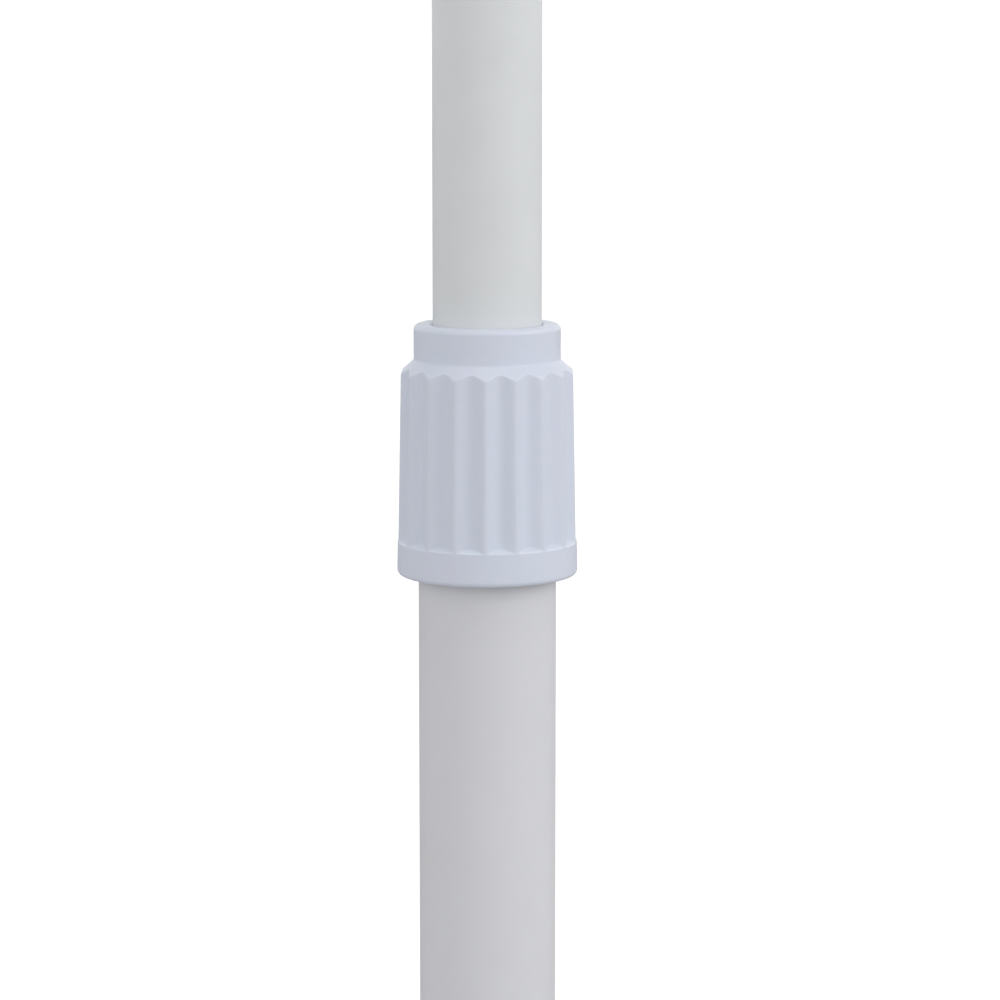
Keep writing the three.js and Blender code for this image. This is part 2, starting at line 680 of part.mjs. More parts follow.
// The cap and the globe are both shells, open to each other at the neck.
function bulbCap() {
  const bore = BULB_CAP.r - BULB_CAP.wall;
  return lathe([
    [0, BULB_CAP.tip - BULB_CAP.wall],
    [BULB_CAP.tipR, BULB_CAP.tip - BULB_CAP.wall],
    [bore, BULB_CAP.top - BULB_CAP.wall],
    [bore, BULB_CAP.bottom],
    [BULB_CAP.r, BULB_CAP.bottom],
    [BULB_CAP.r, BULB_CAP.top],
    [BULB_CAP.tipR, BULB_CAP.tip],
    [0, BULB_CAP.tip],
  ]);
}
place(head, "bulb_cap", bulbCap(), steel);

function bulbGlobe() {
  const outline = (inset) => [
    [0, GLOBE.centre - GLOBE.r + inset],
    ...arc(0, GLOBE.centre, GLOBE.r - inset, GLOBE_ARC.from, GLOBE_ARC.to, GLOBE_ARC.steps),
    [GLOBE.neckR - inset, GLOBE.neckEnd],
    [GLOBE.capR - inset, GLOBE.neck],
  ];
  return lathe([...outline(0), ...outline(GLOBE.wall).reverse()]);
}
place(head, "bulb_globe", bulbGlobe(), opal);

// The shade is a spun dome: a flat crown round the lampholder, then a quarter of an ellipse down to its rim.
function domeShade() {
  const outline = (inset) =>
    Array.from({ length: SHADE.steps + 1 }, (_, i) => {
      const a = radians(90 - (90 * i) / SHADE.steps);
      return [
        SHADE.crown + (SHADE.r - inset - SHADE.crown) * Math.cos(a),
        SHADE.top - SHADE.drop + (SHADE.drop - inset) * Math.sin(a),
      ];
    });
  const outer = outline(0);
  const inner = outline(SHADE.wall);
  return lathe(
    [
      [SHADE.hole, SHADE.top - SHADE.wall],
      ...inner,
      ...outer.reverse(),
      [SHADE.hole, SHADE.top],
    ],
    WIDE,
  );
}
place(head, "shade", domeShade(), paint);

const ringBottom = SHADE_RING.top - SHADE_RING.height;
const shadeRing = pipe(SHADE_RING.r, SHADE_RING.bore, ringBottom, SHADE_RING.top);
place(head, "shade_ring", shadeRing, whitePlastic);

export default lamp;
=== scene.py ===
import json
import math
from types import SimpleNamespace as Sizes

import bmesh
import bpy
from mathutils import Matrix, Vector


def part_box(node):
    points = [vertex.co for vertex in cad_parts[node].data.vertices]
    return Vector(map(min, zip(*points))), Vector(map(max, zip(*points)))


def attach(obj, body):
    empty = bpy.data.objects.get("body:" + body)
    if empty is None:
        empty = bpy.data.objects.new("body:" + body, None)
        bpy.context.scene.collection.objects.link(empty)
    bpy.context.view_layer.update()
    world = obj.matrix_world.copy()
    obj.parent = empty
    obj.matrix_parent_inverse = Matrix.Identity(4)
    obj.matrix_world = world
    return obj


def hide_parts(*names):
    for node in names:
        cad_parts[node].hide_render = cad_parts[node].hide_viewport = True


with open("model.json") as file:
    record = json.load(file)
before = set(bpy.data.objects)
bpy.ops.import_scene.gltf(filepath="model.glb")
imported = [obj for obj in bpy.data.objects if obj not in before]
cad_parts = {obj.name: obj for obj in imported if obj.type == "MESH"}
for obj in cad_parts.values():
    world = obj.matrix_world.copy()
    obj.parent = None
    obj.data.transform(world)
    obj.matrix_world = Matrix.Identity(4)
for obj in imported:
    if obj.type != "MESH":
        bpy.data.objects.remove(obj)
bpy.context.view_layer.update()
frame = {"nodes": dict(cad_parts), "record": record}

MM = 0.001

# ---- Camera, measured from the mast's axis and from the collar's lower edge ----
CAMERA_DISTANCE = 0.683
CAMERA_RISE = 0.1166
CAMERA_PITCH = 8.46
CAMERA_SIDE = 0.00258
CAMERA_LENS = 122.4
CAMERA_SENSOR = 36.0
CAMERA_CLIP = (0.05, 300.0)

# ---- Light: a plain studio, brightest round the sides, and three softboxes ----
WORLD_HORIZON = 1.24
WORLD_ZENITH = 0.26
FLOOR_TONE = (0.55, 0.55, 0.555)
FLOOR_SEEN = 0.74
FLOOR_SIZE = 80.0
FLOOR_CELLS = 4
BACKDROP_DETAIL = 4
# turn: degrees to the right of the camera; rise: degrees up from the collar's lower edge
SOFTBOXES = {
    "key_softbox": Sizes(turn=66.0, rise=30.0, distance=2.6, width=1.5, watts=17.0),
    "fill_softbox": Sizes(turn=-60.0, rise=25.0, distance=2.6, width=1.5, watts=2.6),
    "top_softbox": Sizes(turn=10.0, rise=78.0, distance=2.2, width=1.2, watts=4.7),
}

# ---- Mesh fineness ----
ROUND = 128  # sides of a lamp-sized round piece
SMALL = 48  # sides of pins, studs and the gland
MIDDLING = 72  # sides of the arm and the fork
WIDE = 192  # sides of the tubes, the base and the shade
FILLET_STEPS = 6
COVER_FILLET_STEPS = 12
FINE_STEP = 0.17  # millimetres between the collar's rows where the grooves start and end
COARSE_STEP = 3.0  # and where it is plain
SHARP_ANGLE = math.radians(38)
COLLAR_SHARP_ANGLE = math.radians(60)
ON_AXIS = 1e-6  # a radius below this is a point on the axis
WITHIN = 0.01  # heights or radii closer than this are the same
EDGE_LAYER = "edge"
EDGE_CURVATURE = (700.0, 2500.0)  # per metre: where edge wear starts, and where it is complete
CORNER_POINTINESS = (0.505, 0.56)  # the same for coarse meshes, as the shading measures it

# ---- Base and mast, in millimetres ----
# side: how far below the top the cover's upright side ends; corner: how far above its rolled edge the side
# and the slope would meet; sweep: the radius of the bend from the slope to the flat middle
COVER = Sizes(wall=1.6, edge=7.0, edge_turn=75.0, side=11.0, corner=2.2, flat=20.0, sweep=60.0, hole=5.6)
# edge_drop: how far below the top the ring's side ends; lip: how far its flat top reaches from the tube
FOOT = Sizes(play=0.3, edge=5.5, edge_drop=1.0, lip=1.4)
GLAND = Sizes(r=4.6, lip_r=7.0, lip=2.4, bore=3.3, depth=6.0)
TUBE_WALL = 1.2

# ---- Collar, in millimetres above its lower edge ----
RIBS = 18
GROOVE_ANGLE = 9.0
GROOVE_FROM = 6.8
GROOVE_DEPTH = 1.1
GROOVE_FULLNESS = 0.82  # 1 for a plain wave; less for wider grooves and narrower ribs
GROOVE_FOOT_SLOPE = 1.5
GROOVE_SAMPLES = 30
SOFTNESS = 0.16  # how far from a groove's ends its edges begin to round over
END_ZONE = 2.4  # how far from its ends a groove's shape may change
FOOT_R = 18.34
CROWN_R = 17.6
CROWN = 41.35
NECK_R = 14.85
NECK = 43.8
MOUTH_R = 11.2  # at the mouth, round the upper tube
TAPER = (FOOT_R - CROWN_R) / CROWN
CAVITY = Sizes(lead_r=16.9, lead=0.6, thread_r=16.3, thread=23.4, r=15.6, top=39.1, seat_r=14.3, seat=42.3)

# ---- Arm, in millimetres and degrees: straight up out of the coupler, then a constant bow ----
ARM = Sizes(r=9.5, wall=1.0, straight=55.4, bow=430.0, seam=105.0, end=25.0, gap=0.2, soft=0.3, stations=90)
COUPLER = Sizes(bore=6.4, play=0.3, gap=0.2, bevel=1.4, neck=3.0, neck_in=1.4, socket=39.7)

# ---- Tilt joint, in millimetres from the pivot ----
# root: how far the ears run into the fork's body; inset: how much smaller the spigot is than the arm's bore
EAR = Sizes(r=9.0, soft=0.5, arc_steps=32, side_steps=8, top_steps=12)
FORK = Sizes(reach=22.0, gap=3.2, ear=4.0, body=10.6, root=1.5, spigot=13.0, inset=0.6, play=0.3, bore=3.4)
# inside: how far the pin's end stays below the knob's face
PIN = Sizes(r=2.5, hole=2.8, head_r=4.6, head=2.8, play=0.2, inside=1.5)
SOCKET = Sizes(r=1.7, floor_r=1.5, depth=1.4, floor=1.6)  # in the pin's head, for a key
KNOB = Sizes(r=9.0, height=9.0, play=0.25, face=1.2, edge=1.6, lobes=6, sides=96)
DIMPLE = Sizes(reach=2.2, depth=1.15, sharpness=1.6)
DISC = Sizes(r=7.5, play=0.4)
EYE = Sizes(half=2.2, root=10.8, neck_r=7.0, neck=-9.8, foot=-22.0, stud_r=4.8, stud_end=-33.0)

# ---- Lampholder, bulb and shade, in millimetres above the tilt pivot ----
CAP = Sizes(r=23.0, top=-22.3, top_r=9.5, neck_r=11.0, neck=2.0, side=-34.5, edge=9.0, bottom=-42.7)
CAP_INSIDE = Sizes(hole=5.2, wall=3.0, roof_r=10.0, haunch_r=16.0, haunch=-32.7, rim=2.6, skirt=3.0)
HOLDER = Sizes(r=19.5, bore=15.9, flange_r=23.0, flange=4.0, top=-43.0, bottom=-88.0)
GRIP = Sizes(r=27.0, bore=20.0, top=-49.1, bottom=-57.1, flutes=36, depth=0.35, from_r=26.3, sides=288)
SHADE = Sizes(r=140.0, top=-47.4, drop=126.0, crown=34.0, hole=20.2, wall=1.2, steps=48)
BULB_CAP = Sizes(r=13.4, tip_r=8.4, tip=-55.6, shoulder=-57.0, bottom=-80.0, wall=1.2, tip_wall=1.6)
GLOBE = Sizes(r=30.0, centre=-122.0, wall=1.2, cap_r=13.4, cap=-80.3, sides=96)
GLOBE_ARC = Sizes(start=-90.0, end=50.0, steps=40)
GLOBE_NECK = Sizes(r=14.5, end=-90.3, flare=3.0, steps=8)  # flare: how far it follows the globe's own curve

# ---- Colours, linear ----
WHITE_PAINT = (0.768, 0.788, 0.799)
# The lower tube's colour is the white paint made darker: painted shade, because less light falls on the
# lower tube than on the upper one
LOWER_TUBE_SHADED_PAINT = (0.738, 0.740, 0.770)
COLLAR_WHITE = (0.725, 0.785, 0.890)
COLLAR_WARM = (0.745, 0.770, 0.885)
WHITE_PLASTIC = (0.80, 0.80, 0.78)
WHITE_WARM = (0.82, 0.81, 0.77)
BLACK_PLASTIC = (0.025, 0.025, 0.027)
BLACK_WARM = (0.032, 0.031, 0.03)
ACETAL = (0.80, 0.78, 0.70)
ACETAL_WARM = (0.78, 0.77, 0.72)
ZINC = (0.62, 0.63, 0.65)
BRASS = (0.72, 0.53, 0.24)
IRON = (0.06, 0.06, 0.063)
RUBBER = (0.025, 0.025, 0.026)
OPAL = (0.88, 0.87, 0.84)


# ---------------------------------------------------------------- materials


class Nodes:
    """A new material's node tree, with short calls that add and join nodes."""

    def __init__(self, name):
        self.material = bpy.data.materials.new(name)
        self.material.use_nodes = True
        self.tree = self.material.node_tree
        self.shader = self.tree.nodes["Principled BSDF"]
        coordinates = self.tree.nodes.new("ShaderNodeTexCoord")
        self.place = coordinates.outputs["Object"]

    def node(self, kind, **settings):
        made = self.tree.nodes.new(kind)
        for key, value in settings.items():
            setattr(made, key, value)
        return made

    def join(self, source, target):
        self.tree.links.new(source, target)

    def noise(self, scale, stretch=(1, 1, 1), detail=3.0, roughness=0.55):
        mapping = self.node("ShaderNodeMapping")
        mapping.inputs["Scale"].default_value = stretch
        self.join(self.place, mapping.inputs["Vector"])
        noise = self.node("ShaderNodeTexNoise")
        noise.inputs["Scale"].default_value = scale
        noise.inputs["Detail"].default_value = detail
        noise.inputs["Roughness"].default_value = roughness
        self.join(mapping.outputs["Vector"], noise.inputs["Vector"])
        return noise.outputs["Fac"]

    def remap(self, value, low, high, source=(0.3, 0.7)):
        ranged = self.node("ShaderNodeMapRange")
        ranged.inputs["From Min"].default_value = source[0]
        ranged.inputs["From Max"].default_value = source[1]
        ranged.inputs["To Min"].default_value = low
        ranged.inputs["To Max"].default_value = high
        self.join(value, ranged.inputs["Value"])
        return ranged.outputs["Result"]

    def mix(self, amount, first, second):
        mixed = self.node("ShaderNodeMix", data_type="RGBA")
        self.join(amount, mixed.inputs["Factor"])
        for socket, colour in ((mixed.inputs["A"], first), (mixed.inputs["B"], second)):
            if isinstance(colour, tuple):
                socket.default_value = (*colour, 1.0)
            else:
                self.join(colour, socket)
        return mixed.outputs["Result"]

    def bumps(self, *layers):
        """Each layer is a height, its strength and its depth in metres."""
        normal = None
        for height, strength, distance in layers:
            bump = self.node("ShaderNodeBump")
            bump.inputs["Strength"].default_value = strength
            bump.inputs["Distance"].default_value = distance
            self.join(height, bump.inputs["Height"])
            if normal is not None:
                self.join(normal, bump.inputs["Normal"])
            normal = bump.outputs["Normal"]
        self.join(normal, self.shader.inputs["Normal"])

    def edges(self):
        """1 on outer edges and 0 elsewhere, broken up so that the wear isn't even."""
        measured = self.node("ShaderNodeAttribute", attribute_name=EDGE_LAYER)
        patchy = self.remap(self.noise(scale=90.0), 0.35, 1.0)
        product = self.node("ShaderNodeMath", operation="MULTIPLY")
        self.join(measured.outputs["Fac"], product.inputs[0])
        self.join(patchy, product.inputs[1])
        return product.outputs["Value"]

    def corners(self):
        """As edges(), from the shading itself, for coarse meshes that carry no edge layer."""
        geometry = self.node("ShaderNodeNewGeometry")
        return self.remap(geometry.outputs["Pointiness"], 0.0, 1.0, CORNER_POINTINESS)


def scaled(colour, factor):
    """The colour, brighter or darker by a factor."""
    return tuple(min(1.0, channel * factor) for channel in colour)


def powder_coat(name, colour, gloss=0.42):
    """Satin powder coat: fine orange peel, slow tone changes, faint drawing streaks, rubbed edges."""
    n = Nodes(name)
    cloud = n.remap(n.noise(scale=9.0, stretch=(1, 1, 0.4)), 0.0, 1.0)
    streak = n.remap(n.noise(scale=260.0, stretch=(1, 1, 0.012), detail=2.0), 0.0, 1.0)
    fleck = n.remap(n.noise(scale=1500.0, detail=1.0), 0.0, 1.0, (0.62, 0.80))
    toned = n.mix(cloud, scaled(colour, 0.975), scaled(colour, 1.012))
    streaked = n.mix(n.remap(streak, 0.0, 0.35, (0.0, 1.0)), toned, scaled(colour, 0.985))
    flecked = n.mix(n.remap(fleck, 0.0, 0.25, (0.0, 1.0)), streaked, scaled(colour, 0.90))
    worn = n.mix(n.edges(), flecked, scaled(colour, 1.05))
    n.join(worn, n.shader.inputs["Base Color"])
    n.join(n.remap(n.noise(scale=70.0), gloss - 0.04, gloss + 0.06), n.shader.inputs["Roughness"])
    n.shader.inputs["Specular IOR Level"].default_value = 0.5
    n.shader.inputs["Coat Weight"].default_value = 0.12
    n.shader.inputs["Coat Roughness"].default_value = 0.22
    n.bumps((n.noise(scale=900.0, detail=2.0), 0.10, 0.00012), (n.noise(scale=160.0), 0.06, 0.0004))
    return n.material


def moulded(name, colour, warm, gloss=0.40, grain=0.10):
    """Moulded plastic: two slightly different tones in slow clouds, fine spark-eroded grain, soft edges."""
    n = Nodes(name)
    cloud = n.remap(n.noise(scale=55.0, stretch=(1, 1, 0.5), detail=2.0), 0.0, 1.0)
    toned = n.mix(cloud, colour, warm)
    dusty = n.mix(n.remap(n.noise(scale=420.0), 0.0, 0.25), toned, scaled(colour, 0.95))
    worn = n.mix(n.edges(), dusty, scaled(colour, 1.08))
    n.join(worn, n.shader.inputs["Base Color"])
    n.join(n.remap(n.noise(scale=140.0), gloss - 0.05, gloss + 0.07), n.shader.inputs["Roughness"])
    n.shader.inputs["Specular IOR Level"].default_value = 0.5
    n.shader.inputs["Subsurface Weight"].default_value = 0.06
    n.shader.inputs["Subsurface Scale"].default_value = 0.002
    n.bumps((n.noise(scale=2600.0, detail=2.0), grain, 0.00006), (n.noise(scale=240.0), 0.05, 0.0003))
    return n.material


def metal(name, colour, gloss):
    """Bare or plated metal with lathe marks, dull patches and bright rubbed edges."""
    n = Nodes(name)
    patch = n.remap(n.noise(scale=45.0), 0.0, 1.0)
    marks = n.noise(scale=180.0, stretch=(1, 1, 14), detail=4.0)
    toned = n.mix(patch, scaled(colour, 0.86), scaled(colour, 1.05))
    worn = n.mix(n.corners(), toned, scaled(colour, 1.25))
    n.join(worn, n.shader.inputs["Base Color"])
    n.join(n.remap(marks, gloss - 0.08, gloss + 0.12), n.shader.inputs["Roughness"])
    n.shader.inputs["Metallic"].default_value = 1.0
    n.bumps((marks, 0.12, 0.0001))
    return n.material


def cast(name, colour):
    """Primed sand casting: coarse skin with pits."""
    n = Nodes(name)
    skin = n.noise(scale=350.0, detail=6.0, roughness=0.7)
    toned = n.mix(n.remap(n.noise(scale=30.0), 0.0, 1.0), scaled(colour, 0.8), scaled(colour, 1.4))
    n.join(n.mix(n.corners(), toned, scaled(colour, 2.2)), n.shader.inputs["Base Color"])
    n.join(n.remap(skin, 0.65, 0.9), n.shader.inputs["Roughness"])
    n.bumps((skin, 0.5, 0.0006))
    return n.material


def rubber(name, colour):
    """Closed-cell pad: matte, with fine cells and a dusty bloom."""
    n = Nodes(name)
    cells = n.node("ShaderNodeTexVoronoi")
    cells.inputs["Scale"].default_value = 900.0
    n.join(n.place, cells.inputs["Vector"])
    bloom = n.remap(n.noise(scale=60.0), 0.0, 0.6)
    n.join(n.mix(bloom, colour, scaled(colour, 2.0)), n.shader.inputs["Base Color"])
    n.join(n.remap(n.noise(scale=200.0), 0.8, 0.95), n.shader.inputs["Roughness"])
    n.bumps((cells.outputs["Distance"], 0.4, 0.0003))
    return n.material


def opal_glass(name, colour):
    """Opal glass: milky, smooth, a little light carried under the skin."""
    n = Nodes(name)
    cloud = n.remap(n.noise(scale=25.0), 0.0, 1.0)
    n.join(n.mix(cloud, scaled(colour, 0.97), scaled(colour, 1.03)), n.shader.inputs["Base Color"])
    n.join(n.remap(n.noise(scale=120.0), 0.20, 0.32), n.shader.inputs["Roughness"])
    n.shader.inputs["Subsurface Weight"].default_value = 0.25
    n.shader.inputs["Subsurface Scale"].default_value = 0.006
    n.shader.inputs["Coat Weight"].default_value = 0.3
    n.shader.inputs["Coat Roughness"].default_value = 0.08
    n.bumps((n.noise(scale=60.0), 0.03, 0.0004))
    return n.material


MATERIALS = {
    "white_paint": powder_coat("white_paint", WHITE_PAINT),
    "white_aluminium": powder_coat("white_aluminium", WHITE_PAINT, gloss=0.46),
    "collar_plastic": moulded("collar_plastic", COLLAR_WHITE, COLLAR_WARM, gloss=0.36),
    "white_plastic": moulded("white_plastic", WHITE_PLASTIC, WHITE_WARM),
    "black_plastic": moulded("black_plastic", BLACK_PLASTIC, BLACK_WARM, gloss=0.5),
    "acetal": moulded("acetal", ACETAL, ACETAL_WARM, gloss=0.3, grain=0.05),
    "plated_steel": metal("plated_steel", ZINC, 0.32),
    "contact_brass": metal("contact_brass", BRASS, 0.30),
    "ballast_iron": cast("ballast_iron", IRON),
    "pad_rubber": rubber("pad_rubber", RUBBER),
    "opal_glass": opal_glass("opal_glass", OPAL),
}


# ---------------------------------------------------------------- shapes


def rounded(corners, steps=FILLET_STEPS):
    """Corners (r, z) or (r, z, fillet radius) of a closed outline, with the fillets worked out."""
    outline = []
    count = len(corners)
    for i, corner in enumerate(corners):
        here = Vector(corner[:2])
        radius = corner[2] if len(corner) > 2 else 0.0
        if radius <= 0:
            outline.append(here)
            continue
        before = (Vector(corners[i - 1][:2]) - here).normalized()
        after = (Vector(corners[(i + 1) % count][:2]) - here).normalized()
        half = before.angle(after) / 2
        reach = radius / math.tan(half)
        centre = here + (before + after).normalized() * (radius / math.sin(half))
        start = here + before * reach - centre
        end = here + after * reach - centre
        turn = start.angle_signed(end)
        for step in range(steps + 1):
            angle = -turn * step / steps
            outline.append(centre + Matrix.Rotation(angle, 2) @ start)
    return outline


def edge_layer(mesh):
    """Stores how sharply each vertex stands out, for the edge wear in the materials."""
    layer = mesh.verts.layers.float.new(EDGE_LAYER)
    start, end = EDGE_CURVATURE
    for vertex in mesh.verts:
        bend = 0.0
        for edge in vertex.link_edges:
            away = edge.other_vert(vertex).co - vertex.co
            bend = max(bend, -2 * away.dot(vertex.normal) / away.length_squared)
        vertex[layer] = min(1.0, max(0.0, (bend - start) / (end - start)))


def finish_mesh(name, mesh, sharp=SHARP_ANGLE):
    """An object from a finished bmesh, smooth except at sharp edges, with its faces pointing out."""
    bmesh.ops.recalc_face_normals(mesh, faces=mesh.faces)
    mesh.normal_update()
    edge_layer(mesh)
    data = bpy.data.meshes.new(name)
    mesh.to_mesh(data)
    mesh.free()
    data.shade_smooth()
    data.set_sharp_from_angle(angle=sharp)
    piece = bpy.data.objects.new(name, data)
    bpy.context.scene.collection.objects.link(piece)
    return piece


def revolve(mesh, outline, sides, place=None, radius_at=None):
    """Adds to the mesh a closed outline of (r, z), in millimetres, turned about Z."""
    rings = []
    for r, z in outline:
        if r < ON_AXIS:
            rings.append([mesh.verts.new((0, 0, z * MM))])
            continue
        ring = []
        for side in range(sides):
            angle = 2 * math.pi * side / sides
            reach = radius_at(r, z, angle) if radius_at else r
            ring.append(
                mesh.verts.new((reach * MM * math.cos(angle), reach * MM * math.sin(angle), z * MM))
            )
        rings.append(ring)
    for first, second in zip(rings, rings[1:] + rings[:1]):
        if len(first) == 1 and len(second) == 1:
            continue
        for side in range(sides):
            following = (side + 1) % sides
            corners = [first[side % len(first)], second[side % len(second)]]
            if len(second) > 1:
                corners.append(second[following])
            if len(first) > 1:
                corners.append(first[following])
            mesh.faces.new(corners)
    if place is not None:
        added = [vertex for ring in rings for vertex in ring]
        bmesh.ops.transform(mesh, matrix=place, verts=added)


def lathe(name, corners, sides=ROUND, place=None, steps=FILLET_STEPS):
    """A turned piece from the corners of its closed outline."""
    mesh = bmesh.new()
    revolve(mesh, rounded(corners, steps), sides, place)
    return finish_mesh(name, mesh)


def at(point, turn=None):
    """A placement at a point in metres, with an optional turn."""
    moved = Matrix.Translation(point)
    return moved @ turn.to_4x4() if turn is not None else moved


def stand_in(piece, node, body, slot, finish=None):
    """Puts the piece on its body, in place of its CAD node, with its finish."""
    piece.data.materials.clear()
    piece.data.materials.append(finish or MATERIALS[slot])
    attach(piece, body)
    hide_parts(node)


def span(node):
    """A round node's radius, lowest and highest point, in millimetres."""
    low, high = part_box(node)
    return (high.y - low.y) / 2 / MM, low.z / MM, high.z / MM


# ---------------------------------------------------------------- base
# In an outline, a corner's third number is the radius of its fillet.

TUBE_R = span("lower_tube")[0]


def base_cover():
    r, low, high = span("base_cover")
    rolled = COVER.edge * math.sin(math.radians(COVER.edge_turn))
    corner = high - COVER.side + rolled + COVER.corner
    outline = [
        (r - COVER.wall, low, 0.4),
        (r, low, 0.6),
        (r, corner, COVER.edge),
        (COVER.flat, high, COVER.sweep),
        (COVER.hole, high),
        (COVER.hole, high - COVER.wall),
        (COVER.flat, high - COVER.wall, COVER.sweep),
        (r - COVER.wall, corner - COVER.wall, COVER.edge - COVER.wall),
    ]
    return lathe("base_cover_shell", outline, WIDE, steps=COVER_FILLET_STEPS)


def foot_ring():
    r, low, high = span("foot_ring")
    outline = [
        (TUBE_R + FOOT.play, low),
        (r, low, 0.5),
        (r, high - FOOT.edge_drop, FOOT.edge),
        (TUBE_R + FOOT.lip, high, 0.8),
        (TUBE_R + FOOT.play, high, 0.3),
    ]
    return lathe("foot_ring_smooth", outline)


def flex_gland():
    low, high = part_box("flex_gland")
    length = (high.x - low.x) / MM
    outline = [
        (0, 0),
        (GLAND.r, 0, 0.4),
        (GLAND.r, length - GLAND.lip),
        (GLAND.lip_r, length - GLAND.lip, 0.3),
        (GLAND.lip_r, length, 1.4),
        (GLAND.bore, length, 0.8),
        (GLAND.bore, length - GLAND.depth),
        (0, length - GLAND.depth),
    ]
    place = at((high.x, 0, (low.z + high.z) / 2), Matrix.Rotation(-math.pi / 2, 3, "Y"))
    return lathe("flex_gland_smooth", outline, SMALL, place)


stand_in(base_cover(), "base_cover", "base", "white_paint")
stand_in(foot_ring(), "foot_ring", "base", "white_paint")
stand_in(flex_gland(), "flex_gland", "base", "black_plastic")

# ---------------------------------------------------------------- mast


def mast_tube(node, top_fillet, top_bore_fillet):
    r, low, high = span(node)
    outline = [
        (r - TUBE_WALL, low, 0.15),
        (r, low, 0.2),
        (r, high, top_fillet),
        (r - TUBE_WALL, high, top_bore_fillet),
    ]
    return lathe(node + "_smooth", outline, WIDE)


lower = mast_tube("lower_tube", 0.3, 0.2)
# The lower tube gets a darker copy of the white paint: painted shade for the lower tube, which is less lit
stand_in(lower, "lower_tube", "base", "white_paint", powder_coat("lower_tube_painted_shade", LOWER_TUBE_SHADED_PAINT))
stand_in(mast_tube("upper_tube", 0.2, 0.15), "upper_tube", "mast", "white_paint")

# ---------------------------------------------------------------- ribbed twist collar


def flank(z):
    """The collar's outer radius between the grooves."""
    return FOOT_R - TAPER * z


def soft_min(a, b, reach):
    """The smaller of two numbers, rounded over where they are closer than reach."""
    if reach <= 0:
        return min(a, b)
    overlap = max(reach - abs(a - b), 0.0)
    return min(a, b) - overlap * overlap / (4 * reach)


def collar_radius(r, z, angle):
    """The collar's outer radius: the turned profile with the wave of grooves cut into it."""
    rise = z - GROOVE_FROM
    if r < NECK_R - WITHIN or rise <= 0:
        return r
    turns = (angle - math.radians(-90 + GROOVE_ANGLE)) * RIBS
    hollow = GROOVE_DEPTH * (0.5 + 0.5 * math.cos(turns)) ** GROOVE_FULLNESS
    foot = rise * GROOVE_FOOT_SLOPE
    depth = soft_min(hollow, foot, min(SOFTNESS, 2 * hollow, 2 * foot))
    return soft_min(r, flank(z) - depth, min(SOFTNESS, flank(z) - r))


def is_plain(first, second):
    """Whether a run of the collar's outline is in its cavity, or along the grooves' straight middle."""
    low, high = sorted((first.y, second.y))
    inside = max(first.x, second.x) < NECK_R - WITHIN
    middle = low > GROOVE_FROM + END_ZONE - WITHIN and high < CROWN - END_ZONE + WITHIN
    return inside or middle


def refine(outline):
    """The collar's outline with its long runs divided, finely except where it is plain."""
    finer = []
    for first, second in zip(outline, outline[1:] + outline[:1]):
        longest = COARSE_STEP if is_plain(first, second) else FINE_STEP
        parts = max(1, math.ceil((second - first).length / longest))
        finer.extend(first.lerp(second, part / parts) for part in range(parts))
    return finer


def lock_collar():
    low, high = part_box("lock_collar")
    height = (high.z - low.z) / MM
    outline = rounded(
        [
            (CAVITY.lead_r, 0.0, 0.3),
            (FOOT_R, 0.0, 1.0),
            (flank(GROOVE_FROM + END_ZONE), GROOVE_FROM + END_ZONE),
            (flank(CROWN - END_ZONE), CROWN - END_ZONE),
            (CROWN_R, CROWN, 1.3),
            (NECK_R, NECK, 0.6),
            (NECK_R, height, 1.1),
            (MOUTH_R, height, 0.7),
            (MOUTH_R, CAVITY.seat, 0.2),
            (CAVITY.seat_r, CAVITY.seat),
            (CAVITY.r, CAVITY.top),
            (CAVITY.r, CAVITY.thread),
            (CAVITY.thread_r, CAVITY.thread),
            (CAVITY.thread_r, CAVITY.lead, 0.2),
        ]
    )
    mesh = bmesh.new()
    revolve(mesh, refine(outline), RIBS * GROOVE_SAMPLES, at((0, 0, low.z)), collar_radius)
    return finish_mesh("lock_collar_ribbed", mesh, COLLAR_SHARP_ANGLE)


stand_in(lock_collar(), "lock_collar", "lock_collar", "collar_plastic")

# ---------------------------------------------------------------- arm

inner_r, _, inner_high = span("upper_tube")
arm_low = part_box("arm_tube_lower")[0].z / MM
bow_start = arm_low + ARM.straight


def arm_coupler():
    r, low, high = span("arm_coupler")
    spigot_r = inner_r - TUBE_WALL - COUPLER.play
    outline = [
        (COUPLER.bore, low),
        (spigot_r, low, 0.4),
        (spigot_r, inner_high + COUPLER.gap),
        (inner_r, inner_high + COUPLER.gap),
        (r, inner_high + COUPLER.bevel, 0.5),
        (r, high - COUPLER.neck, 1.0),
        (r - COUPLER.neck_in, high, 0.6),
        (ARM.r + COUPLER.play, high, 0.2),
        (ARM.r + COUPLER.play, high - COUPLER.socket),
        (COUPLER.bore, high - COUPLER.socket),
    ]
    return lathe("arm_coupler_smooth", outline)


def arm_point(s):
    """Centre and direction of the arm, s millimetres along it."""
    if s <= ARM.straight:
        return Vector((0, 0, arm_low + s)), Vector((0, 0, 1))
    angle = math.pi - (s - ARM.straight) / ARM.bow
    centre = Vector((ARM.bow + ARM.bow * math.cos(angle), 0, bow_start + ARM.bow * math.sin(angle)))
    return centre, Vector((math.sin(angle), 0, -math.cos(angle)))


def arm_length(angle):
    return ARM.straight + ARM.bow * math.radians(180 - angle)


def join_rings(mesh, rings):
    """Faces between each ring of vertices and the next, and back from the last to the first."""
    for first, second in zip(rings, rings[1:] + rings[:1]):
        for i in range(len(first)):
            following = (i + 1) % len(first)
            mesh.faces.new((first[i], second[i], second[following], first[following]))


